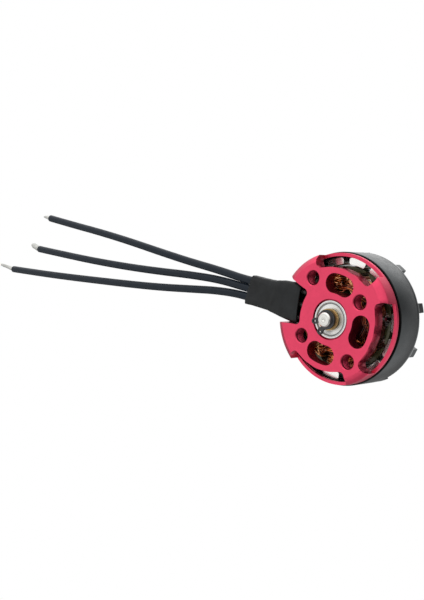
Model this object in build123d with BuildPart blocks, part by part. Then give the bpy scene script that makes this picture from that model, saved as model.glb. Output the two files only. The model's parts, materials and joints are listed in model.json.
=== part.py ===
from build123d import *
import math
import os

os.makedirs("parts", exist_ok=True)

# Brushless outrunner motor, 22 mm stator with 5 mm laminations.
# Millimetres. Z runs along the shaft toward the propeller; z = 0 is the face that is
# bolted to the arm. The wire notch is centred on +X.

# ---- driving dimensions ---------------------------------------------------------
BASE_R = 13.7            # radius of the wall of the base
RIM_IN = 13.0            # inside of the rim
LEDGE_Z = 3.3            # underside of the rim where the outer slots pass below it
PLATE_T = 2.8            # thickness of the base plate
RIM_TOP = 4.2
TUBE_R = 4.8             # bearing tube
TUBE_TOP = 14.4
BOLTS = [(9.5, 45), (8.0, 135), (9.5, 225), (8.0, 315)]   # M3, 19 mm and 16 mm circles
BOLT_R = 1.5
SHAFT_R = 1.5
SHAFT_END = -2.2
BRG_R, BRG_W = 4.0, 4.0  # 3 x 8 x 4 mm bearings
BRG_Z = [0.2, 10.4]     # lower faces of the two bearings
BALL_R, PITCH_R = 0.79, 2.75
STATOR_R, CORE_Z, CORE_H = 11.0, 5.6, 5.0
TEETH, TOOTH_A = 12, -4.0
COIL_Z0, COIL_Z1 = 4.3, 11.8
CLIP_Z, CLIP_T = -1.35, 0.5
BELL_R, RING_IN = 13.95, 12.85
BELL_Z0, RING_TOP, BELL_RIM_Z, FIN_TOP = 4.5, 11.0, 11.8, 13.5
FINS, FIN_W, FIN_A = 9, 1.95, 31.8
MAGNETS, MAG_IN, MAG_DEG, MAG_A, MAG_Z = 14, 11.3, 19.0, 87.1, (5.2, 10.9)
HUB_R, HUB_Z0, SEAT_Z, STUD_R, STUD_TOP = 5.6, 14.9, 16.0, 2.5, 29.6
WIRE_R, STRAND_R = 0.9, 0.5
CLIP_A = -50.5           # direction of the opening of the retaining ring


def polar(r, deg):
    return (r * math.cos(math.radians(deg)), r * math.sin(math.radians(deg)))


def sector(r0, r1, a0, a1, steps=16):
    """Corner points of a ring sector, for Polygon."""
    up = [polar(r1, a0 + (a1 - a0) * i / steps) for i in range(steps + 1)]
    down = [polar(r0, a1 - (a1 - a0) * i / steps) for i in range(steps + 1)]
    return up + down


# ---- base -----------------------------------------------------------------------
with BuildPart() as base_mount:
    with BuildSketch(Plane.XZ) as base_profile:
        with BuildLine():
            Polyline((BRG_R, 0.8), (4.22, 0.8), (4.22, 0), (12.3, 0), (12.55, 0.16), (12.9, 0.32),
                     (13.6, 0.92), (BASE_R, 1.1), (BASE_R, RIM_TOP - 0.2), (BASE_R - 0.12, RIM_TOP),
                     (RIM_IN, RIM_TOP), (RIM_IN, PLATE_T), (5.35, PLATE_T), (5.35, CORE_Z),
                     (TUBE_R, CORE_Z), (TUBE_R, TUBE_TOP), (BRG_R, TUBE_TOP), (BRG_R, BRG_Z[1]),
                     (3.3, BRG_Z[1]), (3.3, BRG_Z[0] + BRG_W), (BRG_R, BRG_Z[0] + BRG_W), (BRG_R, 0.8))
        make_face()
    revolve(axis=Axis.Z)
    # mounting holes
    with BuildSketch(Plane.XY.offset(-0.5)):
        for r, a in BOLTS:
            with Locations(polar(r, a)):
                Circle(BOLT_R)
    extrude(amount=PLATE_T + 1, mode=Mode.SUBTRACT)
    for r, a in BOLTS:
        with Locations(Pos(*polar(r, a), 0.075)):
            Cone(BOLT_R + 0.2, BOLT_R, 0.2, mode=Mode.SUBTRACT)
    # curved vents round the bearing
    with BuildSketch(Plane.XY.offset(-0.5)):
        for a in (90, 180, 270):
            SlotArc(CenterArc((0, 0), 7.5, a - 10.5, 21), 4.1)
    extrude(amount=PLATE_T + 1, mode=Mode.SUBTRACT)
    # outer slots: through the plate, and out through the wall below the rim
    with BuildSketch(Plane.XY.offset(-0.5)) as slot_low:
        for a in (90, 180, 270):
            with BuildLine():
                FilletPolyline(polar(15.0, a - 29.5), polar(12.9, a - 34.8), polar(11.0, a - 35.2),
                               polar(10.78, a - 17), polar(10.78, a), polar(10.78, a + 17),
                               polar(11.0, a + 35.2), polar(12.9, a + 34.8), polar(15.0, a + 29.5),
                               radius=[1.2, 0.9, 6, 6, 6, 0.9, 1.2])
                Polyline(polar(15.0, a + 29.5), polar(17, a + 20), polar(17, a - 20), polar(15.0, a - 29.5))
            make_face()
    extrude(amount=LEDGE_Z + 0.5, mode=Mode.SUBTRACT)
    # notch for the wires, through the plate and the rim
    with BuildSketch(Plane.XY.offset(-0.5)):
        with BuildLine():
            FilletPolyline((14.8, 5.82), (12.2, 5.04), (9.3, 4.22), (6.85, 3.74), (7.45, 1.3), (7.45, -1.3),
                           (6.85, -3.74), (9.3, -4.22), (12.2, -5.04), (14.8, -5.82),
                           radius=[20, 20, 1.0, 6, 6, 1.0, 20, 20])
            Line((14.8, -5.82), (14.8, 5.82))
        make_face()
    extrude(amount=RIM_TOP + 1, mode=Mode.SUBTRACT)
base_mount.part.label = "base_mount"
export_step(base_mount.part, "parts/base_mount.step")

# ---- stator ---------------------------------------------------------------------
with BuildPart() as stator_core:
    with BuildSketch(Plane.XY.offset(CORE_Z)):
        with PolarLocations(0, TEETH, start_angle=TOOTH_A):
            Polygon((5.5, -0.8), (10.0, -0.8), (10.4, -2.35), (11.3, -2.57), (11.3, 2.57), (10.4, 2.35),
                    (10.0, 0.8), (5.5, 0.8), align=None)
        Circle(STATOR_R, mode=Mode.INTERSECT)
        Circle(6.4)
        Circle(TUBE_R, mode=Mode.SUBTRACT)
    extrude(amount=CORE_H)
stator_core.part.label = "stator_core"
export_step(stator_core.part, "parts/stator_core.step")

with BuildPart() as coil_01:
    with BuildSketch(Plane.XY.offset(COIL_Z0)):
        Polygon((6.5, -1.5), (9.8, -2.36), (9.8, 2.36), (6.5, 1.5), align=None)
    extrude(amount=COIL_Z1 - COIL_Z0)
    fillet(coil_01.edges().filter_by(lambda e: abs(e.center().Z - COIL_Z0) < 0.01
                                     or abs(e.center().Z - COIL_Z1) < 0.01), 0.55)
    with Locations((8, 0, CORE_Z + CORE_H / 2)):
        Box(6, 1.6, CORE_H, mode=Mode.SUBTRACT)
for i in range(TEETH):
    coil = coil_01.part.rotate(Axis.Z, TOOTH_A + 360 / TEETH * i)
    coil.label = f"coil_{i + 1:02d}"
    export_step(coil, f"parts/coil_{i + 1:02d}.step")

# ---- bearings -------------------------------------------------------------------
for side, z0 in zip(("lower", "upper"), BRG_Z):
    mid = z0 + BRG_W / 2
    with BuildPart() as outer_ring:
        with Locations((0, 0, mid)):
            Cylinder(BRG_R, BRG_W)
            Cylinder(3.4, BRG_W, mode=Mode.SUBTRACT)
            Torus(PITCH_R, BALL_R + 0.03, mode=Mode.SUBTRACT)
        for s in (-1, 1):
            with Locations(Location((0, 0, mid + s * (BRG_W / 2 - 0.075)), (90 - 90 * s, 0, 0))):
                Cone(3.4, 3.52, 0.15, mode=Mode.SUBTRACT)
        chamfer(outer_ring.edges().filter_by(GeomType.CIRCLE).filter_by(
            lambda e: abs(e.radius - BRG_R) < 0.01), 0.15)
    outer_ring.part.label = f"{side}_bearing_outer_ring"
    export_step(outer_ring.part, f"parts/{side}_bearing_outer_ring.step")

    with BuildPart() as inner_ring:
        with Locations((0, 0, mid)):
            Cylinder(2.1, BRG_W)
            Cylinder(SHAFT_R, BRG_W, mode=Mode.SUBTRACT)
            Torus(PITCH_R, BALL_R + 0.03, mode=Mode.SUBTRACT)
    inner_ring.part.label = f"{side}_bearing_inner_ring"
    export_step(inner_ring.part, f"parts/{side}_bearing_inner_ring.step")

    with BuildPart() as shields:
        with Locations((0, 0, z0 + 0.25), (0, 0, z0 + BRG_W - 0.25)):
            Cylinder(3.4, 0.2)
            Cylinder(2.2, 0.2, mode=Mode.SUBTRACT)
    shields.part.label = f"{side}_bearing_shields"
    export_step(shields.part, f"parts/{side}_bearing_shields.step")

    with BuildPart() as cage:
        with Locations((0, 0, mid)):
            Cylinder(3.05, 2.2)
            Cylinder(2.45, 2.2, mode=Mode.SUBTRACT)
            with PolarLocations(PITCH_R, 7):
                Cylinder(BALL_R + 0.02, 2, rotation=(0, 90, 0), mode=Mode.SUBTRACT)
    cage.part.label = f"{side}_bearing_cage"
    export_step(cage.part, f"parts/{side}_bearing_cage.step")

    with BuildPart() as balls:
        with Locations((0, 0, mid)):
            with PolarLocations(PITCH_R, 7):
                Sphere(BALL_R)
    balls.part.label = f"{side}_bearing_balls"
    export_step(balls.part, f"parts/{side}_bearing_balls.step")

# ---- rotor ----------------------------------------------------------------------
with BuildPart() as bell_cap:
    with BuildSketch(Plane.XZ):
        with BuildLine():
            Polyline((SHAFT_R, HUB_Z0), (HUB_R, HUB_Z0), (HUB_R, SEAT_Z - 0.2), (HUB_R - 0.2, SEAT_Z),
                     (STUD_R, SEAT_Z), (STUD_R, STUD_TOP - 0.6), (STUD_R - 0.6, STUD_TOP),
                     (0, STUD_TOP), (0, 22.0), (SHAFT_R, 22.0), (SHAFT_R, HUB_Z0))
        make_face()
        with BuildLine():
            Polyline((12.6, RING_TOP), (BELL_R, RING_TOP), (BELL_R, BELL_RIM_Z - 0.15),
                     (BELL_R - 0.15, BELL_RIM_Z), (12.6, BELL_RIM_Z), (12.6, RING_TOP))
        make_face()
    revolve(axis=Axis.Z)
    for k in range(FINS):
        with BuildSketch(Plane.XZ.rotated((0, 0, FIN_A + k * 360 / FINS))):
            with BuildLine():
                Polyline((5.0, 14.95), (10.1, 12.4), (12.7, RING_TOP + 0.05), (BELL_R + 1, RING_TOP + 0.05),
                         (BELL_R + 1, FIN_TOP), (12.2, FIN_TOP), (5.2, SEAT_Z - 0.05), (5.0, SEAT_Z - 0.05),
                         (5.0, 14.95))
            make_face()
        extrude(amount=FIN_W / 2, both=True)
    with BuildSketch(Plane.XY.offset(10)):
        Circle(BELL_R)
    extrude(amount=25, mode=Mode.INTERSECT)
bell_cap.part.label = "bell_cap"
export_step(bell_cap.part, "parts/bell_cap.step")

with BuildPart() as flux_ring:
    with BuildSketch(Plane.XZ):
        with BuildLine():
            Polyline((RING_IN, BELL_Z0), (BELL_R - 0.2, BELL_Z0), (BELL_R, BELL_Z0 + 0.2),
                     (BELL_R, RING_TOP), (RING_IN, RING_TOP), (RING_IN, BELL_Z0))
        make_face()
    revolve(axis=Axis.Z)
flux_ring.part.label = "flux_ring"
export_step(flux_ring.part, "parts/flux_ring.step")

with BuildPart() as magnet_01:
    with BuildSketch(Plane.XY.offset(MAG_Z[0])):
        Polygon(*sector(MAG_IN - 1, RING_IN + 1, MAG_A - MAG_DEG / 2, MAG_A + MAG_DEG / 2, 4), align=None)
        Circle(RING_IN, mode=Mode.INTERSECT)
        Circle(MAG_IN, mode=Mode.SUBTRACT)
    extrude(amount=MAG_Z[1] - MAG_Z[0])
for i in range(MAGNETS):
    magnet = magnet_01.part.rotate(Axis.Z, 360 / MAGNETS * i)
    magnet.label = f"magnet_{i + 1:02d}"
    export_step(magnet, f"parts/magnet_{i + 1:02d}.step")

with BuildPart() as motor_shaft:
    with BuildSketch(Plane.XZ):
        with BuildLine():
            Polyline((0, SHAFT_END + 0.25), (0.35, SHAFT_END), (SHAFT_R - 0.25, SHAFT_END),
                     (SHAFT_R, SHAFT_END + 0.25), (SHAFT_R, CLIP_Z), (1.2, CLIP_Z), (1.2, CLIP_Z + CLIP_T),
                     (SHAFT_R, CLIP_Z + CLIP_T), (SHAFT_R, 21.9), (0, 21.9), (0, SHAFT_END + 0.25))
        make_face()
    revolve(axis=Axis.Z)
motor_shaft.part.label = "motor_shaft"
export_step(motor_shaft.part, "parts/motor_shaft.step")

with BuildPart() as shaft_circlip:
    with BuildSketch(Plane.XY.offset(CLIP_Z)):
        Circle(2.04)
        for s in (-1, 1):
            with Locations(Location((*polar(2.35, CLIP_A + s * 25.5), 0), (0, 0, CLIP_A + s * 25.5))):
                Rectangle(1.5, 1.25)
            with Locations(polar(2.95, CLIP_A + s * 25.5)):
                Circle(0.62)
        Circle(1.2, mode=Mode.SUBTRACT)
        with Locations(Location((*polar(2.2, CLIP_A), 0), (0, 0, CLIP_A))):
            Rectangle(3.2, 1.1, mode=Mode.SUBTRACT)
        for s in (-1, 1):
            with Locations(polar(2.9, CLIP_A + s * 25.5)):
                Circle(0.3, mode=Mode.SUBTRACT)
    extrude(amount=CLIP_T)
shaft_circlip.part.label = "shaft_circlip"
export_step(shaft_circlip.part, "parts/shaft_circlip.step")

with BuildPart() as retaining_shim:   # spacer between the lower bearing and the retaining ring
    with BuildSketch(Plane.XZ):
        with BuildLine():
            Polyline((SHAFT_R, CLIP_Z + CLIP_T), (2.2, CLIP_Z + CLIP_T), (2.25, -0.55), (2.13, -0.5),
                     (2.13, -0.42), (2.25, -0.37), (2.25, -0.12), (2.13, -0.07), (2.13, 0.01), (2.2, 0.06),
                     (2.05, BRG_Z[0]), (SHAFT_R, BRG_Z[0]), (SHAFT_R, CLIP_Z + CLIP_T))
        make_face()
    revolve(axis=Axis.Z)
retaining_shim.part.label = "retaining_shim"
export_step(retaining_shim.part, "parts/retaining_shim.step")

with BuildPart() as upper_shim:
    with BuildSketch(Plane.XY.offset(TUBE_TOP)):
        Circle(2.1)
        Circle(SHAFT_R, mode=Mode.SUBTRACT)
    extrude(amount=HUB_Z0 - TUBE_TOP)
upper_shim.part.label = "upper_shim"
export_step(upper_shim.part, "parts/upper_shim.step")

# ---- wires ----------------------------------------------------------------------
# Each route runs from the joint inside the sleeve to the end of the insulation; the last
# entry is the end of the bare tinned strands.
ROUTES = {
    "a": [(10.6, 2.75, 1.75), (16.2, 1.80, 1.6), (23.9, 0.50, 1.2), (32.6, -0.05, 0.95),
          (42.2, -1.02, 0.95), (52.5, -1.79, 0.95), (63.5, -2.50, 0.95), (75.2, -3.52, 0.95),
          (86.0, -4.72, 0.95), (96.0, -5.72, 0.95), (98.96, -6.0, 0.95)],
    "b": [(10.6, 0.0, 1.75), (16.2, -0.38, 1.6), (23.9, -1.30, 1.2), (31.9, -2.03, 0.95),
          (41.2, -3.95, 0.95), (51.0, -6.28, 0.95), (61.5, -8.60, 0.95), (73.4, -10.95, 0.95),
          (86.1, -13.17, 0.95), (98.1, -15.13, 0.95), (102.03, -15.72, 0.95)],
    "c": [(10.6, -2.75, 1.75), (16.2, -2.72, 1.6), (23.9, -3.10, 1.2), (31.4, -4.50, 0.95),
          (40.2, -7.10, 0.95), (49.8, -9.91, 0.95), (60.2, -12.65, 0.95), (71.3, -15.44, 0.95),
          (83.4, -18.46, 0.95), (95.8, -21.42, 0.95), (107.9, -24.16, 0.95), (114.35, -25.5, 0.95)],
}


def bend_radii(points):
    """Radius at every inner point: 0.45 of the shorter run over the tangent of half the turn."""
    radii = []
    for p, q, r in zip(points, points[1:], points[2:]):
        u, v = Vector(*q) - Vector(*p), Vector(*r) - Vector(*q)
        turn = math.radians(u.get_angle(v))
        radii.append(round(0.45 * min(u.length, v.length) / math.tan(turn / 2), 3))
    return radii


def tube(points, radius, radii):
    """Round tube whose centre line is straight runs joined by tangent arcs."""
    with BuildPart() as body:
        with BuildLine() as path:
            FilletPolyline(*points, radius=radii)
        with BuildSketch(Plane(path.line @ 0, z_dir=path.line % 0)):
            Circle(radius)
        sweep()
    return body.part, sum(edge.length for edge in path.edges())


for key, route in ROUTES.items():
    points, tip = route[:-1], route[-1]
    radii = bend_radii(points)
    wire, length = tube(points, WIRE_R, radii)
    wire.label = f"wire_{key}"
    export_step(wire, f"parts/wire_{key}.step")
    print(wire.label, "length", round(length, 2), "smallest radius", min(radii),
          "volume", round(wire.volume, 1), "section x length", round(math.pi * WIRE_R ** 2 * length, 1))
    end, direction = Vector(*points[-1]), Vector(*points[-1]) - Vector(*points[-2])
    with BuildPart() as wire_tip:
        with BuildSketch(Plane(end, z_dir=direction)):
            Circle(STRAND_R)
        extrude(amount=(Vector(*tip) - end).length)
        chamfer(wire_tip.faces().sort_by(Axis.X)[-1].edges(), 0.12)
    wire_tip.part.label = f"wire_{key}_tip"
    export_step(wire_tip.part, f"parts/wire_{key}_tip.step")

# coil leads: down from a coil through the notch to the joint inside the sleeve
LEADS = {
    "a": [(8.15, 2.90, COIL_Z0), (8.15, 2.90, 3.4), (8.55, 2.85, 1.75), (10.6, 2.75, 1.75)],
    "b": [(8.2, 0.0, COIL_Z0), (8.2, 0.0, 3.3), (8.5, 0.0, 1.75), (10.6, 0.0, 1.75)],
    "c": [(8.05, -3.25, COIL_Z0), (8.15, -3.20, 3.5), (8.65, -2.90, 1.75), (10.6, -2.75, 1.75)],
}
for key, points in LEADS.items():
    lead, length = tube(points, 0.42, 0.6)
    lead.label = f"phase_lead_{key}"
    export_step(lead, f"parts/phase_lead_{key}.step")

# heat-shrink sleeve over the three joints, following the wires
SLEEVE = [  # x, y, z of the section's middle, half width, half height
    (9.1, 0.0, 1.75, 3.95, 1.40), (10.4, 0.0, 1.75, 4.25, 1.42), (13.4, -0.18, 1.68, 4.0, 1.42),
    (17.2, -0.62, 1.56, 3.42, 1.36), (20.2, -1.0, 1.42, 3.32, 1.32), (22.6, -1.35, 1.31, 3.3, 1.26)]
with BuildPart() as heat_shrink_sleeve:
    for x, y, z, w, h in SLEEVE:
        with BuildSketch(Plane((x, y, z), x_dir=(0, 1, 0), z_dir=(1, 0, 0))):
            RectangleRounded(2 * w, 2 * h, 0.98 * h)
    loft()
    for key in "abc":
        joint_a = Vector(*ROUTES[key][0])
        with BuildLine(mode=Mode.PRIVATE) as bore_line:
            FilletPolyline(*ROUTES[key][:-1], radius=bend_radii(ROUTES[key][:-1]))
        with BuildSketch(Plane(joint_a, z_dir=bore_line.line % 0)) as bore:
            Circle(WIRE_R)
        sweep(bore.sketch, path=bore_line.line, mode=Mode.SUBTRACT)
        with BuildLine(mode=Mode.PRIVATE) as lead_line:
            Polyline(LEADS[key][2], LEADS[key][3])
        with BuildSketch(Plane(Vector(*LEADS[key][3]), z_dir=lead_line.line % 0)) as lead_bore:
            Circle(0.42)
        extrude(lead_bore.sketch, amount=-1.9, mode=Mode.SUBTRACT)
heat_shrink_sleeve.part.label = "heat_shrink_sleeve"
export_step(heat_shrink_sleeve.part, "parts/heat_shrink_sleeve.step")
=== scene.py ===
"""Look of a brushless outrunner motor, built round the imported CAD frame.

Z runs along the shaft toward the propeller, z = 0 is the mounting face, and the wires leave
along +X. Pieces are written in millimetres and stored in metres.
"""
import json
import math
import random

import bpy
from mathutils import Matrix, Vector, noise


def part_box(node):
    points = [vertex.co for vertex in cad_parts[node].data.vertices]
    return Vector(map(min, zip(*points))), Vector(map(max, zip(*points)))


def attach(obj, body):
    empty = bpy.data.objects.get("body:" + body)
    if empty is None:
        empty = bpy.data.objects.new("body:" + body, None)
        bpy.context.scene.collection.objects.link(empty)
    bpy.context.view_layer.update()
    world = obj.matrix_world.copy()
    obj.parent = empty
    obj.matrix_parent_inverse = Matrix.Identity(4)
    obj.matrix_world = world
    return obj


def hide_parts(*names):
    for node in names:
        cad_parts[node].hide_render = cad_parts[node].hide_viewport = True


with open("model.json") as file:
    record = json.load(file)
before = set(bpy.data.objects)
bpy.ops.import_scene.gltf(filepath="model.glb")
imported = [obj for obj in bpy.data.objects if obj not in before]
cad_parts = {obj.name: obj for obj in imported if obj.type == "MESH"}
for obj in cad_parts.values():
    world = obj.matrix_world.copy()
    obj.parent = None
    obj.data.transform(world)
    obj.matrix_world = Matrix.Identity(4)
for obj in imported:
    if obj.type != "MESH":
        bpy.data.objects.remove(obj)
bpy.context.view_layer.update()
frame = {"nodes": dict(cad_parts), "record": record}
NODES = frame["nodes"]
SCENE = bpy.context.scene
MM = 0.001


def z_range(node):
    """Lowest and highest z of a CAD node, in millimetres."""
    low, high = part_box(node)
    return round(low.z / MM, 3), round(high.z / MM, 3)


# ---- sizes of the CAD, in millimetres and degrees --------------------------------------
HOLE_R = 1.5             # M3 mounting holes, on 19 mm and 16 mm circles
HOLES = [(r * math.cos(math.radians(a)), r * math.sin(math.radians(a)))
         for r, a in ((9.5, 45), (8.0, 135), (9.5, 225), (8.0, 315))]
BASE_R, RIM_IN, RIM_TOP, PLATE_T = 13.7, 13.0, 4.2, 2.8
BELL_R, RING_IN, BELL_Z0, BELL_RIM_Z = 13.95, 12.85, 4.5, 11.8
SEAT_Z, STUD_R = 16.0, 2.5
STUD_TOP = z_range("bell_cap")[1]
TEETH, TOOTH_A = 12, -4.0
CORE_MID = sum(z_range("stator_core")) / 2
MAGNETS, MAG_A, MAG_DEG, MAG_IN, MAG_OUT = 14, 87.1, 19.0, 11.3, 12.84
MAG_Z0, MAG_Z1 = z_range("magnet_01")
WIRE_R = 0.9


# ---- camera -----------------------------------------------------------------------------
EYE = Vector((-97.75, 40.54, -152.02)) * MM
RIGHT = Vector((-0.7019, 0.2358, 0.6721)).normalized()
BACK = -Vector((0.6312, -0.2312, 0.7403)).normalized()
UP = BACK.cross(RIGHT).normalized()
RIGHT = UP.cross(BACK).normalized()


def add_camera():
    data = bpy.data.cameras.new("camera")
    data.sensor_fit = "VERTICAL"
    data.sensor_height = 36
    data.lens = 54
    data.clip_start = 0.01
    camera = bpy.data.objects.new("camera", data)
    camera.matrix_world = Matrix.Translation(EYE) @ Matrix((RIGHT, UP, BACK)).transposed().to_4x4()
    SCENE.collection.objects.link(camera)
    SCENE.camera = camera


add_camera()


# ---- materials --------------------------------------------------------------------------
def shade(color, k):
    return tuple(min(1.0, max(0.0, v * k)) for v in color)


class Nodes:
    """A material's node tree with short calls. Lengths given to a call are millimetres."""

    def __init__(self, name):
        self.mat = bpy.data.materials.new(name)
        self.mat.use_nodes = True
        self.tree = self.mat.node_tree
        self.bsdf = self.tree.nodes["Principled BSDF"]
        self.coord = self.add("ShaderNodeTexCoord").outputs["Object"]
        xyz = self.add("ShaderNodeSeparateXYZ")
        self.put(self.coord, xyz.inputs[0])
        self.x, self.y, self.z = xyz.outputs

    def add(self, kind, **settings):
        node = self.tree.nodes.new(kind)
        for key, value in settings.items():
            setattr(node, key, value)
        return node

    def put(self, value, socket):
        """Stores a number or a colour in a socket, or links a node's output to it."""
        if isinstance(value, (int, float)):
            socket.default_value = value
        elif isinstance(value, tuple):
            socket.default_value = (*value, 1)
        else:
            self.tree.links.new(value, socket)

    def set(self, **values):
        """Sets plain inputs of the shader, spaces in their names written as underlines."""
        for key, value in values.items():
            self.put(value, self.bsdf.inputs[key.replace("_", " ")])

    def paint(self, color):
        self.put(color, self.bsdf.inputs["Base Color"])

    # numbers
    def math(self, op, *values):
        node = self.add("ShaderNodeMath", operation=op)
        for value, socket in zip(values, node.inputs):
            self.put(value, socket)
        return node.outputs[0]

    def times(self, a, b):
        return self.math("MULTIPLY", a, b)

    def over(self, value, length):
        return self.math("GREATER_THAN", value, length * MM)

    def under(self, value, length):
        return self.math("LESS_THAN", value, length * MM)

    def span(self, value, out_lo, out_hi, in_lo, in_hi):
        """Maps in_lo..in_hi to out_lo..out_hi, and holds the ends outside."""
        node = self.add("ShaderNodeMapRange")
        for name, v in (("From Min", in_lo), ("From Max", in_hi), ("To Min", out_lo), ("To Max", out_hi)):
            node.inputs[name].default_value = v
        self.put(value, node.inputs["Value"])
        return node.outputs["Result"]

    def band(self, value, lo, hi, soft=0.03):
        """1 between the lengths lo and hi, falling off softly outside."""
        rise = self.span(value, 0, 1, (lo - soft) * MM, (lo + soft) * MM)
        fall = self.span(value, 1, 0, (hi - soft) * MM, (hi + soft) * MM)
        return self.times(rise, fall)

    # places on the motor
    def radius(self):
        """Distance from the shaft's axis."""
        return self.math("SQRT", self.math("ADD", self.times(self.x, self.x), self.times(self.y, self.y)))

    def from_nearest(self, points):
        """Distance across the shaft to the nearest of points."""
        flat = self.add("ShaderNodeCombineXYZ")
        self.put(self.x, flat.inputs[0])
        self.put(self.y, flat.inputs[1])
        near = None
        for x, y in points:
            node = self.add("ShaderNodeVectorMath", operation="DISTANCE")
            self.put(flat.outputs[0], node.inputs[0])
            node.inputs[1].default_value = (x * MM, y * MM, 0)
            distance = node.outputs["Value"]
            near = distance if near is None else self.math("MINIMUM", near, distance)
        return near

    def on_wall(self):
        """1 on walls that stand along the shaft, 0 on faces across it."""
        steepness = 1.6
        normal = self.add("ShaderNodeSeparateXYZ")
        self.put(self.add("ShaderNodeNewGeometry").outputs["Normal"], normal.inputs[0])
        facing = self.times(self.math("ABSOLUTE", normal.outputs[2]), steepness)
        return self.math("SUBTRACT", 1.0, self.math("MINIMUM", 1.0, facing))

    # patterns
    def noise(self, scale, detail=3, rough=0.5):
        node = self.add("ShaderNodeTexNoise")
        node.inputs["Scale"].default_value = scale
        node.inputs["Detail"].default_value = detail
        node.inputs["Roughness"].default_value = rough
        self.put(self.coord, node.inputs["Vector"])
        return node.outputs["Fac"]

    def lines(self, value, per_metre):
        """Uneven fine lines along one coordinate."""
        node = self.add("ShaderNodeTexNoise", noise_dimensions="1D")
        node.inputs["Scale"].default_value = 1
        node.inputs["Detail"].default_value = 2
        self.put(self.times(value, per_metre), node.inputs["W"])
        return node.outputs["Fac"]

    def layers(self, thickness):
        """Along the shaft, 0 to 1 through one layer and back to 0 through the next."""
        return self.math("PINGPONG", self.times(self.z, 1 / (thickness * MM)), 1.0)

    # colours and finish
    def ramp(self, value, stops):
        node = self.add("ShaderNodeValToRGB")
        elements = node.color_ramp.elements
        while len(elements) < len(stops):
            elements.new(0.5)
        for element, (position, color) in zip(elements, stops):
            element.position = position
            element.color = (*color, 1)
        self.put(value, node.inputs["Fac"])
        return node.outputs["Color"]

    def mottled(self, color, vary, scale, detail=4, rough=0.5, stops=(0.3, 0.7)):
        """A colour that goes darker and lighter by vary, in patches."""
        return self.ramp(self.noise(scale, detail, rough),
                         [(stops[0], shade(color, 1 - vary)), (stops[1], shade(color, 1 + vary))])

    def blend(self, amount, color, other):
        node = self.add("ShaderNodeMix", data_type="RGBA")
        self.put(amount, node.inputs["Factor"])
        self.put(color, node.inputs["A"])
        self.put(other, node.inputs["B"])
        return node.outputs["Result"]

    def roughness(self, middle, vary, scale):
        patches = self.span(self.noise(scale), middle - vary, middle + vary, 0.3, 0.7)
        self.put(patches, self.bsdf.inputs["Roughness"])

    def bump(self, height, depth, below=None):
        node = self.add("ShaderNodeBump")
        node.inputs["Strength"].default_value = 1
        node.inputs["Distance"].default_value = depth * MM
        self.put(height, node.inputs["Height"])
        if below is not None:
            self.put(below, node.inputs["Normal"])
        self.put(node.outputs["Normal"], self.bsdf.inputs["Normal"])
        return node.outputs["Normal"]


def painted_rim_highlight(n):
    """Painted highlight: a pale line round the top edge of the bell."""
    edge = n.times(n.band(n.z, BELL_RIM_Z - 0.2, BELL_RIM_Z + 0.1), n.over(n.radius(), BELL_R - 0.45))
    return n.times(edge, 0.6), (0.42, 0.43, 0.43)


def painted_ring_shade(n):
    """Painted shade: the inside and lower edge of the ring are nearly black, in the gaps beside and below
    the magnets.
    """
    dark = n.math("MAXIMUM", n.under(n.radius(), RING_IN + 0.1), n.under(n.z, BELL_Z0 + 0.14))
    return n.times(dark, 0.97), (0.002, 0.002, 0.002)


def metal(name, color, rough, vary=0.06, vary_scale=250, rough_vary=0.05, metallic=1.0, grain=0.0,
          turned=0.0, mark=None):
    """Metal with patches or one painted mark, and grain and turning lines of the given depths."""
    n = Nodes(name)
    n.set(Metallic=metallic)
    if mark:
        amount, mark_color = mark(n)
        n.paint(n.blend(amount, color, mark_color))
    else:
        n.paint(n.mottled(color, vary, vary_scale))
    n.roughness(rough, rough_vary, vary_scale * 3)
    below = None
    if grain:
        below = n.bump(n.noise(9000, 2), grain)
    if turned:
        n.bump(n.times(n.lines(n.z, 9000), n.on_wall()), turned, below)
    return n.mat


def rubber(name, color, rough, vary=0.15, grain=0.004, grain_scale=5000, specular=0.35):
    n = Nodes(name)
    n.set(Specular_IOR_Level=specular)
    n.paint(n.mottled(color, vary, 300))
    n.roughness(rough, 0.08, 900)
    n.bump(n.noise(grain_scale), grain)
    return n.mat


def laminations():
    """Lacquered sheets whose joints show on the walls."""
    sheet_t = 0.35
    n = Nodes("lacquered_laminations")
    n.set(Metallic=0.35, Coat_Weight=0.3, Coat_Roughness=0.2, Roughness=0.38)
    joint = n.times(n.math("GREATER_THAN", n.layers(sheet_t), 0.82), n.on_wall())
    n.paint(n.ramp(n.math("ADD", n.times(joint, -0.4), n.noise(500)),
                   [(0.05, (0.005, 0.0055, 0.003)), (0.4, (0.040, 0.040, 0.014)),
                    (0.7, (0.070, 0.068, 0.026))]))
    n.bump(n.math("SUBTRACT", 1.0, joint), 0.02)
    return n.mat


def copper():
    """Enamelled copper, from dark to bright by each vertex's tone, which holds random tones and painted
    shade and light.
    """
    n = Nodes("copper_winding")
    n.set(Metallic=0.9, Coat_Weight=0.7, Coat_Roughness=0.1, Roughness=0.28)
    tone = n.add("ShaderNodeAttribute", attribute_name="tone").outputs["Fac"]
    patches = n.times(n.math("SUBTRACT", n.noise(900, 4), 0.5), 0.35)
    n.paint(n.ramp(n.math("ADD", tone, patches),
                   [(0.05, (0.02, 0.003, 0.001)), (0.4, (0.28, 0.052, 0.012)),
                    (0.7, (0.80, 0.25, 0.06)), (0.98, (1.0, 0.60, 0.28))]))
    n.bump(n.noise(4000, 2), 0.01)
    return n.mat


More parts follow.
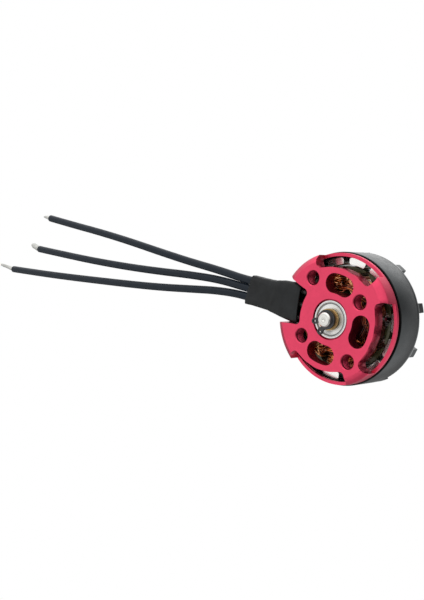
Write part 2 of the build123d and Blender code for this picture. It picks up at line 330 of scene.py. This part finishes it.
def anodised_red():
    """Bead-blasted face, fine turning lines on the outer wall."""
    n = Nodes("red_anodised")
    n.set(Metallic=0.92, Coat_Weight=0.08, Coat_Roughness=0.3)
    base = (0.60, 0.047, 0.103)
    color = n.mottled(base, 0.07, 420, detail=5, rough=0.65, stops=(0.25, 0.75))
    speck = n.span(n.noise(2300, 2), 0.0, 0.5, 0.42, 0.75)
    color = n.blend(n.times(speck, 0.22), color, shade(base, 0.6))
    # painted shade: walls of vents and slots are darkened, most of all near the bearing
    inner = n.times(n.under(n.radius(), RIM_IN - 0.05), n.on_wall())
    depth = n.span(n.radius(), 0.82, 0.45, 8.6 * MM, 9.4 * MM)
    color = n.blend(n.times(inner, depth), color, (0.14, 0.004, 0.016))
    # painted shade: thread roots in the mounting holes are nearly black, and the crests darken inward
    near = n.from_nearest(HOLES)
    root_shade = n.times(n.band(near, HOLE_R - 0.13, HOLE_R + 0.06, 0.04), n.over(n.z, 0.2))
    color = n.blend(n.times(root_shade, 0.85), color, (0.02, 0.001, 0.003))
    crest_shade = n.times(n.under(near, HOLE_R - 0.17), n.span(n.z, 0.9, 0.25, 0.3 * MM, (PLATE_T - 0.4) * MM))
    color = n.blend(n.times(crest_shade, 0.9), color, (0.34, 0.018, 0.047))
    # painted highlight: the rim's top edge is painted pale
    lip = n.times(n.over(n.z, RIM_TOP - 0.14), n.over(n.radius(), BASE_R - 0.25))
    n.paint(n.blend(n.times(lip, 0.8), color, (0.85, 0.30, 0.38)))
    n.roughness(0.38, 0.05, 1500)
    below = n.bump(n.noise(7000, 2), 0.004)
    n.bump(n.times(n.lines(n.z, 8000), n.on_wall()), 0.014, below)
    return n.mat


def bearing(name, color, rough, groove_shades):
    """Turned face with darker rings of painted shade at each groove and gap (inner radius, outer radius,
    strength).
    """
    n = Nodes(name)
    n.set(Metallic=1.0)
    tone = n.mottled(color, 0.05, 300, detail=3)
    for lo, hi, amount in groove_shades:
        tone = n.blend(n.times(n.band(n.radius(), lo, hi), amount), tone, (0.03, 0.03, 0.032))
    n.paint(tone)
    n.roughness(rough, 0.04, 900)
    n.bump(n.lines(n.radius(), 6000), 0.012)
    return n.mat


def ridged_shim():
    """Brass ridges, with painted shade in the groove between each pair."""
    ridge_t = 0.125
    n = Nodes("shim_brass")
    n.set(Metallic=1.0, Roughness=0.34)
    ridge = n.layers(ridge_t)
    groove = n.times(n.math("GREATER_THAN", ridge, 0.62), n.on_wall())
    brass = n.ramp(n.noise(600), [(0.3, (0.40, 0.26, 0.09)), (0.7, (0.54, 0.37, 0.155))])
    n.paint(n.blend(n.times(groove, 0.8), brass, (0.05, 0.028, 0.008)))
    n.bump(n.math("SUBTRACT", 1.0, ridge), 0.03)
    return n.mat


MAT = {
    "red_anodised": anodised_red(),
    "lacquered_laminations": laminations(),
    "dark_anodised": metal("dark_anodised", (0.058, 0.063, 0.065), 0.36, grain=0.003, turned=0.010,
                           metallic=0.85, mark=painted_rim_highlight),
    "dark_steel": metal("dark_steel", (0.056, 0.061, 0.063), 0.34, grain=0.002, turned=0.012,
                        metallic=0.85, mark=painted_ring_shade),
    "ground_steel": bearing("ground_steel", (0.60, 0.59, 0.56), 0.28,
                            [(0.50, 0.58, 0.35), (0.98, 1.05, 0.3)]),
    "spring_steel": metal("spring_steel", (0.045, 0.045, 0.048), 0.36, vary=0.2, grain=0.004,
                          metallic=0.9),
    "shim_brass": ridged_shim(),
    "heat_shrink": rubber("heat_shrink", (0.0062, 0.0072, 0.0078), 0.52, vary=0.45, grain_scale=2500,
                          specular=0.22),
    "copper_winding": copper(),
    "nickel_plate": metal("nickel_plate", (0.80, 0.80, 0.77), 0.2, vary=0.03, vary_scale=300,
                          metallic=0.9),
    "bearing_steel": bearing("bearing_steel", (0.72, 0.73, 0.72), 0.22,
                             [(3.60, 3.70, 0.75), (3.30, 3.44, 0.6), (1.5, 1.62, 0.6)]),
    "shield_steel": bearing("shield_steel", (0.66, 0.66, 0.64), 0.42,
                            [(3.12, 3.4, 0.75), (2.86, 2.92, 0.25)]),
    "cage_steel": metal("cage_steel", (0.45, 0.43, 0.38), 0.35, vary=0.1),
    "ball_steel": metal("ball_steel", (0.8, 0.8, 0.8), 0.1, vary=0.03, rough_vary=0.03),
    "silicone_wire": rubber("silicone_wire", (0.0080, 0.0125, 0.0190), 0.42, vary=0.08, grain=0.001,
                            specular=0.13),
    "tinned_copper": metal("tinned_copper", (0.42, 0.42, 0.40), 0.42, vary=0.2, vary_scale=500,
                           metallic=0.9),
    "lead_sleeving": rubber("lead_sleeving", (0.024, 0.022, 0.021), 0.45),
}
for part in frame["record"]["subparts"]:
    for slot in NODES[part["node"]].material_slots:
        slot.material = MAT[part["material_slot"]]


# ---- mesh helpers -----------------------------------------------------------------------
def piece(name, verts, faces, slot, body, replaces=(), smooth=True):
    """A mesh piece from millimetre vertices."""
    me = bpy.data.meshes.new(name)
    me.from_pydata([Vector(v) * MM for v in verts], [], faces)
    me.validate()
    me.update()
    for p in me.polygons:
        p.use_smooth = smooth
    me.materials.append(MAT[slot])
    o = bpy.data.objects.new(name, me)
    SCENE.collection.objects.link(o)
    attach(o, body)
    if replaces:
        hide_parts(*replaces)
    return o


def toned(o, tones):
    """Stores one tone per vertex: tones is a list of (vertex count, tone)."""
    attribute = o.data.attributes.new("tone", "FLOAT", "POINT")
    attribute.data.foreach_set("value", [tone for count, tone in tones for _ in range(count)])
    return o


def circle(around):
    """Angles of a ring's vertices."""
    return [2 * math.pi * k / around for k in range(around)]


def bands(rings, around, inward=False):
    """Quads between neighbouring rings of around vertices each."""
    faces = []
    for i in range(rings - 1):
        for k in range(around):
            a, b = i * around + k, i * around + (k + 1) % around
            faces.append((a, a + around, b + around, b) if inward else (a, b, b + around, a + around))
    return faces


def end_caps(rings, around):
    """Faces that close the first and the last ring."""
    last = (rings - 1) * around
    return [tuple(range(around - 1, -1, -1)), tuple(range(last, last + around))]


def tube(path, radius, sides):
    """(verts, faces) of a round tube along path; radius is a number or a list."""
    path = [Vector(p) for p in path]
    n = len(path)
    verts = []
    ref = None
    for i, p in enumerate(path):
        t = (path[min(i + 1, n - 1)] - path[max(i - 1, 0)]).normalized()
        if ref is None:
            ref = t.orthogonal().normalized()
        ref = (ref - t * ref.dot(t)).normalized()
        side = t.cross(ref)
        r = radius[i] if isinstance(radius, list) else radius
        verts += [p + (ref * math.cos(a) + side * math.sin(a)) * r for a in circle(sides)]
    return verts, bands(n, sides) + end_caps(n, sides)


def merge(parts):
    verts, faces = [], []
    for v, f in parts:
        base = len(verts)
        verts += v
        faces += [tuple(i + base for i in q) for q in f]
    return verts, faces


def spin(points, deg, lift):
    """Points turned about the shaft and lifted along it."""
    c, s = math.cos(math.radians(deg)), math.sin(math.radians(deg))
    return [Vector((x * c - y * s, x * s + y * c, z + lift)) for x, y, z in points]


def round_edges(o, width, angle=28, weld=0.001):
    """Welds an object's split edges and bevels the sharp ones."""
    o.modifiers.new("weld", "WELD").merge_threshold = weld * MM
    bevel = o.modifiers.new("bevel", "BEVEL")
    bevel.width = width * MM
    bevel.segments = 2
    bevel.limit_method = "ANGLE"
    bevel.angle_limit = math.radians(angle)


# ---- wires ------------------------------------------------------------------------------
ROUTES = {
    "a": [(10.6, 2.75, 1.75), (16.2, 1.80, 1.6), (23.9, 0.42, 1.2), (32.6, -0.05, 0.95),
          (42.2, -1.02, 0.95), (52.5, -1.79, 0.95), (63.5, -2.50, 0.95), (75.2, -3.52, 0.95),
          (86.0, -4.72, 0.95), (96.0, -5.72, 0.95)],
    "b": [(10.6, 0.0, 1.75), (16.2, -0.38, 1.6), (23.9, -1.30, 1.2), (31.9, -2.03, 0.95),
          (41.2, -3.95, 0.95), (51.0, -6.28, 0.95), (61.5, -8.60, 0.95), (73.4, -10.95, 0.95),
          (86.1, -13.17, 0.95), (98.1, -15.13, 0.95)],
    "c": [(10.6, -2.75, 1.75), (16.2, -2.72, 1.6), (23.9, -3.02, 1.2), (31.4, -4.50, 0.95),
          (40.2, -7.10, 0.95), (49.8, -9.91, 0.95), (60.2, -12.65, 0.95), (71.3, -15.44, 0.95),
          (83.4, -18.46, 0.95), (95.8, -21.42, 0.95), (107.9, -24.16, 0.95)],
}
# tinned ends: (distance along, sideways, up, radius) from the end of the insulation
TIPS = {
    "a": [(-0.6, 0, 0, 0.60), (0.2, 0.02, 0, 0.60), (0.9, 0.05, 0, 0.54), (1.8, 0.02, 0.03, 0.44),
          (2.6, -0.06, 0.03, 0.32), (3.0, -0.10, 0.03, 0.18)],
    "b": [(-0.6, 0, 0, 0.68), (0.2, 0.04, 0, 0.70), (1.0, 0.16, 0, 0.72), (1.9, 0.38, 0, 0.74),
          (2.7, 0.58, 0, 0.70), (3.3, 0.72, 0, 0.52), (3.6, 0.78, 0, 0.24)],
    "c": [(-0.6, 0, 0, 0.56), (0.3, 0.03, 0, 0.54), (1.6, 0.18, 0, 0.50), (3.2, 0.42, 0.02, 0.47),
          (4.8, 0.62, 0.03, 0.43), (6.0, 0.75, 0.03, 0.36), (6.4, 0.78, 0.03, 0.2)],
}
TIP_SIDES, TIP_STEPS = 42, 6
TIP_STRANDS, STRAND_TWIST = 8, 0.35


def tinned_end(key):
    """A bare end whose twisted strands show as ridges under the solder."""
    end, before = Vector(ROUTES[key][-1]), Vector(ROUTES[key][-2])
    along = (end - before).normalized()
    side = Vector((0, 0, 1)).cross(along).normalized()
    spine = [(end + along * a + side * s + Vector((0, 0, u)), r) for a, s, u, r in TIPS[key]]
    path, radii = [], []
    for (p, p_r), (q, q_r) in zip(spine, spine[1:]):
        for j in range(TIP_STEPS):
            t = j / TIP_STEPS
            path.append(p.lerp(q, t))
            radii.append(p_r * (1 - t) + q_r * t)
    path.append(spine[-1][0])
    radii.append(spine[-1][1])
    verts, faces = tube(path, radii, TIP_SIDES)
    for i, middle in enumerate(path):
        for k, a in enumerate(circle(TIP_SIDES)):
            ridge = 0.05 * math.cos(a * TIP_STRANDS + i * STRAND_TWIST) - 0.03
            v = verts[i * TIP_SIDES + k]
            verts[i * TIP_SIDES + k] = middle + (v - middle) * (1 + ridge)
    return piece(f"wire_{key}_tinned_end", verts, faces, "tinned_copper", "stator", (f"wire_{key}_tip",))


def wire(key):
    """The silicone cover of one wire, with its bare end."""
    cu = bpy.data.curves.new(f"wire_{key}_cover", "CURVE")
    cu.dimensions = "3D"
    sp = cu.splines.new("NURBS")
    pts = ROUTES[key]
    sp.points.add(len(pts) - 1)
    for p, q in zip(sp.points, pts):
        p.co = (q[0] * MM, q[1] * MM, q[2] * MM, 1)
    sp.order_u = 3
    sp.use_endpoint_u = True
    sp.resolution_u = 16
    cu.bevel_depth = WIRE_R * MM
    cu.bevel_resolution = 8
    cu.use_fill_caps = True
    o = bpy.data.objects.new(f"wire_{key}_cover", cu)
    SCENE.collection.objects.link(o)
    cu.materials.append(MAT["silicone_wire"])
    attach(o, "stator")
    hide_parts(f"wire_{key}")
    tinned_end(key)


for key in ROUTES:
    wire(key)


# ---- heat-shrink sleeve -----------------------------------------------------------------
# x, y, z of a section's middle, half width, half height
SLEEVE = [(8.85, 0.0, 1.75, 3.85, 1.38), (9.7, 0.0, 1.75, 4.16, 1.46), (11.0, 0.0, 1.75, 4.22, 1.46),
          (13.4, -0.18, 1.68, 4.0, 1.46), (15.6, -0.42, 1.61, 3.68, 1.44),
          (16.6, -0.55, 1.58, 3.44, 1.36), (18.4, -0.80, 1.50, 3.34, 1.34),
          (20.2, -1.0, 1.42, 3.30, 1.30), (22.62, -1.30, 1.32, 3.36, 1.27)]
SLEEVE_T = 0.28
SLEEVE_AROUND, SLEEVE_ALONG = 96, 90
NOTCH_LIP, WIRE_LIP = 26, 16     # rows of inner wall behind each open end


def sleeve_at(x):
    """The sleeve's section at x, eased between the listed ones."""
    for a, b in zip(SLEEVE, SLEEVE[1:]):
        if x <= b[0] or b is SLEEVE[-1]:
            t = min(1, max(0, (x - a[0]) / (b[0] - a[0])))
            t = t * t * (3 - 2 * t) * 0.4 + t * 0.6
            return [p * (1 - t) + q * t for p, q in zip(a, b)]


def sleeve_ring(s, inset):
    """One ring of the sleeve, s from 0 at the notch to 1 at the wires, inset from its skin."""
    start, end = SLEEVE[0][0], SLEEVE[-1][0]
    x = start + (end - start) * s
    _, y, z, w, h = sleeve_at(x)
    square = 0.42 - 0.1 * s
    ring = []
    for a in circle(SLEEVE_AROUND):
        c, d = math.cos(a), math.sin(a)
        py = math.copysign(abs(c) ** square, c) * (w - inset)
        pz = math.copysign(abs(d) ** (square + 0.12), d) * (h - inset)
        # the three wires show through toward the narrow end
        lobes = 0.5 + 0.5 * math.cos(2 * math.pi * (py / (w * 0.66)))
        pz *= 1 - 0.20 * s * s * (1 - lobes) * (1 - (abs(py) / w) ** 6)
        # both ends are cut a little slanted
        slant = (0.16 * py + 0.02) * (1 - s) ** 3 - 0.03 * py * s
        v = Vector((x + slant, y + py, z + pz))
        crease = noise.noise(Vector((v.x * 0.35, v.y * 0.6, v.z * 0.6))) * 0.10
        crease += noise.noise(Vector((v.x * 1.1, v.y * 0.4, v.z * 0.5 + 5))) * 0.03
        outward = Vector((0, py / w, pz / h)).normalized()
        ring.append(v + outward * crease * (0.4 + 0.6 * math.sin(math.pi * s)))
    return ring


def sleeve():
    """The outer skin, and a turned-in lip with a short inner wall at both ends."""
    rows = SLEEVE_ALONG + 1
    verts = [v for i in range(rows) for v in sleeve_ring(i / SLEEVE_ALONG, 0.0)]
    faces = bands(rows, SLEEVE_AROUND, inward=True)
    for end, inner_rows in ((0, range(NOTCH_LIP)),
                            (SLEEVE_ALONG, range(SLEEVE_ALONG, SLEEVE_ALONG - WIRE_LIP, -1))):
        last = end * SLEEVE_AROUND
        for row in inner_rows:
            start = len(verts)
            verts += sleeve_ring(row / SLEEVE_ALONG, SLEEVE_T)
            for k in range(SLEEVE_AROUND):
                j = (k + 1) % SLEEVE_AROUND
                q = (last + k, last + j, start + j, start + k)
                faces.append(q if end == 0 else q[::-1])
            last = start
        order = range(SLEEVE_AROUND) if end else range(SLEEVE_AROUND - 1, -1, -1)
        faces.append(tuple(last + k for k in order))
    return piece("heat_shrink_skin", verts, faces, "heat_shrink", "stator", ("heat_shrink_sleeve",))


sleeve()


# ---- windings ---------------------------------------------------------------------------
STRAND_R, LINK_R, STRAND_SIDES = 0.165, 0.15, 6
STRAND_PITCH = 0.345
COIL_START, COIL_END = 6.4, 9.62          # radii that the turns lie between
# room beside a tooth: half width at a radius, and its growth outward
SLOT_START, SLOT_HALF, SLOT_FLARE = 6.5, 1.5, 0.2606
# strands of the innermost layer: half width, half height and corner radius, and their growth
LAYERS = 4
TURN_W, TURN_H, TURN_CORNER = 0.98, 2.81, 0.32
LAYER_W, LAYER_H, LAYER_CORNER = 0.33, 0.31, 0.3
LAYER_GAP = 0.17                          # kept between a layer and the next coil
CORNER_STEPS = 5
CROSSING, CROSSING_Z = 5, -3.8            # strands over the lower end turns, below the core's middle


def turn(x, half_w, half_h, corner):
    """One turn round a tooth: a rounded rectangle across it that leans by one pitch."""
    out = []
    for cy, cz, start in ((half_w, half_h, 0), (-half_w, half_h, 90), (-half_w, -half_h, 180),
                          (half_w, -half_h, 270)):
        for j in range(CORNER_STEPS):
            a = math.radians(start + 90 * j / (CORNER_STEPS - 1))
            y = cy - math.copysign(corner, cy) + corner * math.cos(a)
            z = cz - math.copysign(corner, cz) + corner * math.sin(a)
            out.append((x + STRAND_PITCH * len(out) / (4 * CORNER_STEPS), y, z))
    return out


def bulge_out(x, z):
    """End turns lean over the tooth tip and toward the hub."""
    end = min(1.0, max(0.0, (abs(z) - 2.3) / 0.5))
    return end * (0.55 * max(0.0, (x - 8.1) / 1.6) - 0.45 * max(0.0, (7.9 - x) / 1.2))


def tone_with_painted_light(tone, deg):
    """Painted shade and light: windings opposite the wires are toned darker, and those on the +Y side
    lighter.
    """
    dark = max(0, -math.cos(math.radians(deg))) ** 2
    bright = max(0, math.sin(math.radians(deg))) ** 2
    return tone * (1 - 0.6 * dark) + 0.16 * bright


def winding(index):
    """Layers of turns round one tooth, and strands that cross their lower ends."""
    rnd = random.Random(40 + index)
    deg = TOOTH_A + 360 / TEETH * index
    parts, tones = [], []
    for layer in range(LAYERS):
        half_w = TURN_W + LAYER_W * layer
        x0 = max(COIL_START, SLOT_START + (half_w + LAYER_GAP - SLOT_HALF) / SLOT_FLARE)
        turns = int((COIL_END - x0) / STRAND_PITCH)
        path = []
        for t in range(turns):
            half_h = TURN_H + LAYER_H * layer + rnd.uniform(-0.03, 0.05)
            corner = TURN_CORNER + LAYER_CORNER * layer
            path += turn(x0 + STRAND_PITCH * t, half_w, half_h, corner)
        path = [(x + bulge_out(x, z) + rnd.uniform(-0.03, 0.03), y + rnd.uniform(-0.012, 0.012),
                 z + rnd.uniform(-0.03, 0.03)) for x, y, z in path]
        parts.append(tube(spin(path, deg, CORE_MID), STRAND_R, STRAND_SIDES))
        turn_verts = STRAND_SIDES * 4 * CORNER_STEPS
        tones += [(turn_verts, tone_with_painted_light(rnd.uniform(0.18, 0.80), deg)) for _ in range(turns)]
    for _ in range(CROSSING):
        x1, x2 = rnd.uniform(6.9, 8.2), rnd.uniform(8.2, 9.5)
        y = rnd.choice((-1, 1)) * rnd.uniform(0.7, 1.3)
        path = [(x1, y, CROSSING_Z + 0.75), (x1 + 0.1, y * 0.8, CROSSING_Z + 0.12),
                ((x1 + x2) / 2, 0, CROSSING_Z - 0.02), (x2 - 0.1, -y * 0.9, CROSSING_Z + 0.12),
                (x2, -y * 1.15, CROSSING_Z + 0.75)]
        parts.append(tube(spin(path, deg, CORE_MID), LINK_R, STRAND_SIDES))
        tones.append((len(parts[-1][0]), tone_with_painted_light(rnd.uniform(0.55, 0.95), deg)))
    verts, faces = merge(parts)
    return toned(piece(f"coil_{index + 1:02d}_turns", verts, faces, "copper_winding", "stator",
                       (f"coil_{index + 1:02d}",)), tones)


def links():
    """Bundles of strands that link the coils round the bottom of the stator."""
    rnd = random.Random(11)
    bundles, points = 30, 20
    parts, tones = [], []
    for j in range(bundles):
        a0 = 360 / bundles * j + rnd.uniform(-5, 5)
        sweep = rnd.uniform(34, 62)
        r0, r1 = rnd.uniform(5.2, 7.0), rnd.uniform(5.2, 7.0)
        z0, z1 = rnd.uniform(3.3, 4.7), rnd.uniform(3.3, 4.7)
        wave, phase = rnd.uniform(0.05, 0.2), rnd.uniform(0, 6)
        path = []
        for k in range(points + 1):
            t = k / points
            # both ends rise outward into the windings
            rise = abs(2 * t - 1) ** 5
            a = math.radians(a0 + sweep * t)
            r = r0 * (1 - t) + r1 * t + 1.1 * rise + wave * math.sin(7 * t + phase)
            z = z0 * (1 - t) + z1 * t + wave * math.sin(5 * t + phase * 2)
            path.append((r * math.cos(a), r * math.sin(a), min(5.2, z + 0.7 * rise)))
        for k in range(rnd.choice((1, 2, 2, 3))):
            strand = [(x * (1 + 0.055 * k), y * (1 + 0.055 * k), z + 0.12 * k) for x, y, z in path]
            parts.append(tube(strand, LINK_R, STRAND_SIDES))
            tone = tone_with_painted_light(rnd.choice((0.12, 0.25, 0.45, 0.7, 0.92)), a0 + sweep / 2)
            tones.append((len(parts[-1][0]), tone))
    verts, faces = merge(parts)
    return toned(piece("coil_links", verts, faces, "copper_winding", "stator"), tones)


for i in range(TEETH):
    winding(i)
links()


# ---- threads ----------------------------------------------------------------------------
def inside_thread(x, y, name):
    """Ridges of an M3 thread standing on the wall of a hole."""
    pitch, depth, around, rows_per_pitch = 0.5, 0.24, 40, 6
    z0, z1 = 0.16, PLATE_T - 0.01
    rows = int((z1 - z0) / pitch * rows_per_pitch)
    verts = []
    for i in range(rows + 1):
        z = z0 + (z1 - z0) * i / rows
        fade = min(1, i / 4, (rows - i) / 3)
        for k, a in enumerate(circle(around)):
            phase = ((z - z0) / pitch - k / around) % 1.0
            ridge = min(1, max(0.0, 1 - abs(phase - 0.5) * 2.3) * 1.25)
            r = HOLE_R + 0.004 - depth * ridge * fade
            verts.append((x + r * math.cos(a), y + r * math.sin(a), z))
    faces = bands(rows + 1, around, inward=True)
    return piece(name, verts, faces, "red_anodised", "stator")


for i, (hx, hy) in enumerate(HOLES):
    inside_thread(hx, hy, f"hole_thread_{i + 1}")


def threaded_stud():
    """(verts, faces) of an M5 stud with a plain foot and a chamfered top."""
    pitch, depth, around, row_h = 0.8, 0.42, 72, 0.08
    foot, run_in, chamfer = 0.7, 0.5, 0.6
    rows = int((STUD_TOP - SEAT_Z) / row_h)
    verts = []
    for i in range(rows + 1):
        z = SEAT_Z + (STUD_TOP - SEAT_Z) * i / rows
        fade = min(1, max(0, (z - SEAT_Z - foot) / run_in))
        for k, a in enumerate(circle(around)):
            phase = (z / pitch - k / around) % 1.0
            groove = min(1.0, max(0.0, 1 - abs(phase - 0.5) * 2.4) * 1.15)
            r = min(STUD_R - depth * groove * fade, STUD_R - max(0.0, z - (STUD_TOP - chamfer)))
            verts.append((r * math.cos(a), r * math.sin(a), z))
    return verts, bands(rows + 1, around) + end_caps(rows + 1, around)[1:]


def bell_with_thread():
    """The bell's own mesh without its plain stud, and a threaded stud in its place."""
    source = NODES["bell_cap"].data
    keep = []
    for p in source.polygons:
        corners = [source.vertices[v].co / MM for v in p.vertices]
        stud = (min(v.z for v in corners) > SEAT_Z - 0.01
                and max(math.hypot(v.x, v.y) for v in corners) < STUD_R + 0.02)
        if not stud:
            keep.append(tuple(p.vertices))
    verts, faces = merge([([v.co / MM for v in source.vertices], keep), threaded_stud()])
    o = piece("bell_cap_threaded", verts, faces, "dark_anodised", "rotor", ("bell_cap",), smooth=False)
    round_edges(o, 0.07, angle=35, weld=0.002)


bell_with_thread()

for name, width in (("base_mount", 0.07), ("flux_ring", 0.06), ("shaft_circlip", 0.05),
                    ("motor_shaft", 0.03), ("stator_core", 0.03)):
    round_edges(NODES[name], width)


# ---- magnets ----------------------------------------------------------------------------
def magnet(index, angle):
    """A curved block whose four long edges are rounded."""
    edge_r, corner_steps, broad_steps = 0.42, 6, 6
    middle, half_t = (MAG_IN + MAG_OUT) / 2, (MAG_OUT - MAG_IN) / 2
    half_w = math.radians(MAG_DEG / 2) * middle
    flat_w, flat_t = half_w - edge_r, half_t - edge_r
    outline = []
    for cx, ct, start in ((1, 1, 0), (-1, 1, 90), (-1, -1, 180), (1, -1, 270)):
        for j in range(corner_steps + 1):
            a = math.radians(start + 90 * j / corner_steps)
            outline.append((cx * flat_w + edge_r * math.cos(a), ct * flat_t + edge_r * math.sin(a)))
        if cx == ct:
            # points between two corners, so that the broad face bends with the ring
            for j in range(1, broad_steps):
                outline.append((cx * flat_w * (1 - 2 * j / broad_steps), ct * half_t))
    levels = [(MAG_Z0, 0.07), (MAG_Z0 + 0.02, 0.02), (MAG_Z0 + 0.07, 0),
              (MAG_Z1 - 0.07, 0), (MAG_Z1 - 0.02, 0.02), (MAG_Z1, 0.07)]
    verts = []
    for z, inset in levels:
        for u, v in outline:
            u = math.copysign(max(0.0, abs(u) - inset), u)
            v = math.copysign(max(0.0, abs(v) - inset), v)
            t = math.radians(angle) + u / middle
            verts.append(((middle + v) * math.cos(t), (middle + v) * math.sin(t), z))
    faces = bands(len(levels), len(outline)) + end_caps(len(levels), len(outline))
    o = piece(f"magnet_{index:02d}_block", verts, faces, "nickel_plate", "rotor", (f"magnet_{index:02d}",))
    for end_face in list(o.data.polygons)[-2:]:
        end_face.use_smooth = False


for i in range(MAGNETS):
    magnet(i + 1, MAG_A + i * 360 / MAGNETS)


# ---- stage ------------------------------------------------------------------------------
def add_floor():
    """A pale floor just under the mounting face, seen through from below."""
    bpy.ops.mesh.primitive_plane_add(size=30, location=(0, 0, -0.0002))
    floor = bpy.context.object
    floor.name = "floor"
    mat = bpy.data.materials.new("floor")
    mat.use_nodes = True
    tree = mat.node_tree
    tree.nodes.clear()
    pale = tree.nodes.new("ShaderNodeBsdfDiffuse")
    pale.inputs["Color"].default_value = (0.85, 0.85, 0.85, 1)
    clear = tree.nodes.new("ShaderNodeBsdfTransparent")
    mix = tree.nodes.new("ShaderNodeMixShader")
    tree.links.new(tree.nodes.new("ShaderNodeNewGeometry").outputs["Backfacing"], mix.inputs["Fac"])
    tree.links.new(pale.outputs["BSDF"], mix.inputs[1])
    tree.links.new(clear.outputs["BSDF"], mix.inputs[2])
    out = tree.nodes.new("ShaderNodeOutputMaterial")
    tree.links.new(mix.outputs["Shader"], out.inputs["Surface"])
    floor.data.materials.append(mat)
    floor.visible_diffuse = False
    floor.visible_glossy = False
    floor.visible_shadow = False
    floor.visible_transmission = False


# soft light from one side each: direction, cosine where it starts, cosine where it is full, strength
GLOWS = [
    (-BACK * 0.75 + UP * 0.7 + RIGHT * 0.1, 0.32, 0.9, 0.66),
    (-RIGHT * 0.95 + BACK * 0.3, 0.32, 0.82, 1.08),
    (UP, 0.3, 0.85, 0.95),
    (-UP, 0.3, 0.8, 0.35),
    (RIGHT * 0.8 - UP * 0.6, 0.62, 0.92, 0.8),
    (BACK * 0.89 + UP * 0.46, 0.8, 0.96, 0.95),
]
DIM = 0.16               # light from everywhere


def add_world():
    """White to the eye, and for the object a dim studio with the glows."""
    world = bpy.data.worlds.new("studio")
    SCENE.world = world
    world.use_nodes = True
    tree = world.node_tree
    direction = tree.nodes.new("ShaderNodeTexCoord").outputs["Generated"]
    base = tree.nodes.new("ShaderNodeValue")
    base.outputs[0].default_value = DIM
    total = base.outputs[0]
    for toward, start, full, strength in GLOWS:
        dot = tree.nodes.new("ShaderNodeVectorMath")
        dot.operation = "DOT_PRODUCT"
        dot.inputs[1].default_value = toward.normalized()
        tree.links.new(direction, dot.inputs[0])
        ramp = tree.nodes.new("ShaderNodeMapRange")
        ramp.interpolation_type = "SMOOTHSTEP"
        for name, v in (("From Min", start), ("From Max", full), ("To Min", 0), ("To Max", strength)):
            ramp.inputs[name].default_value = v
        tree.links.new(dot.outputs["Value"], ramp.inputs["Value"])
        add = tree.nodes.new("ShaderNodeMath")
        add.operation = "ADD"
        tree.links.new(ramp.outputs["Result"], add.inputs[0])
        tree.links.new(total, add.inputs[1])
        total = add.outputs[0]
    pick = tree.nodes.new("ShaderNodeMix")
    pick.data_type = "FLOAT"
    tree.links.new(tree.nodes.new("ShaderNodeLightPath").outputs["Is Camera Ray"], pick.inputs["Factor"])
    tree.links.new(total, pick.inputs["A"])
    pick.inputs["B"].default_value = 1
    background = tree.nodes["Background"]
    background.inputs["Color"].default_value = (1, 1, 1, 1)
    tree.links.new(pick.outputs["Result"], background.inputs["Strength"])


def softbox(name, direction, distance, width, height, radiance):
    """A rectangular light whose face has the given radiance, aimed at the motor."""
    aim = Vector((0, 0, 4)) * MM
    light = bpy.data.lights.new(name, "AREA")
    light.shape = "RECTANGLE"
    light.size, light.size_y = width, height
    light.energy = radiance * math.pi * width * height
    o = bpy.data.objects.new(name, light)
    SCENE.collection.objects.link(o)
    d = direction.normalized()
    o.location = aim + d * distance
    o.rotation_euler = (-d).to_track_quat("-Z", "Y").to_euler()


add_floor()
add_world()
softbox("top", UP + BACK * 0.2 - RIGHT * 0.2, 0.42, 0.4, 0.12, 1.2)
softbox("above_bell", Vector((0.6, 0.6, 1)), 0.45, 0.35, 0.35, 0.5)
SCENE.view_settings.view_transform = "Standard"
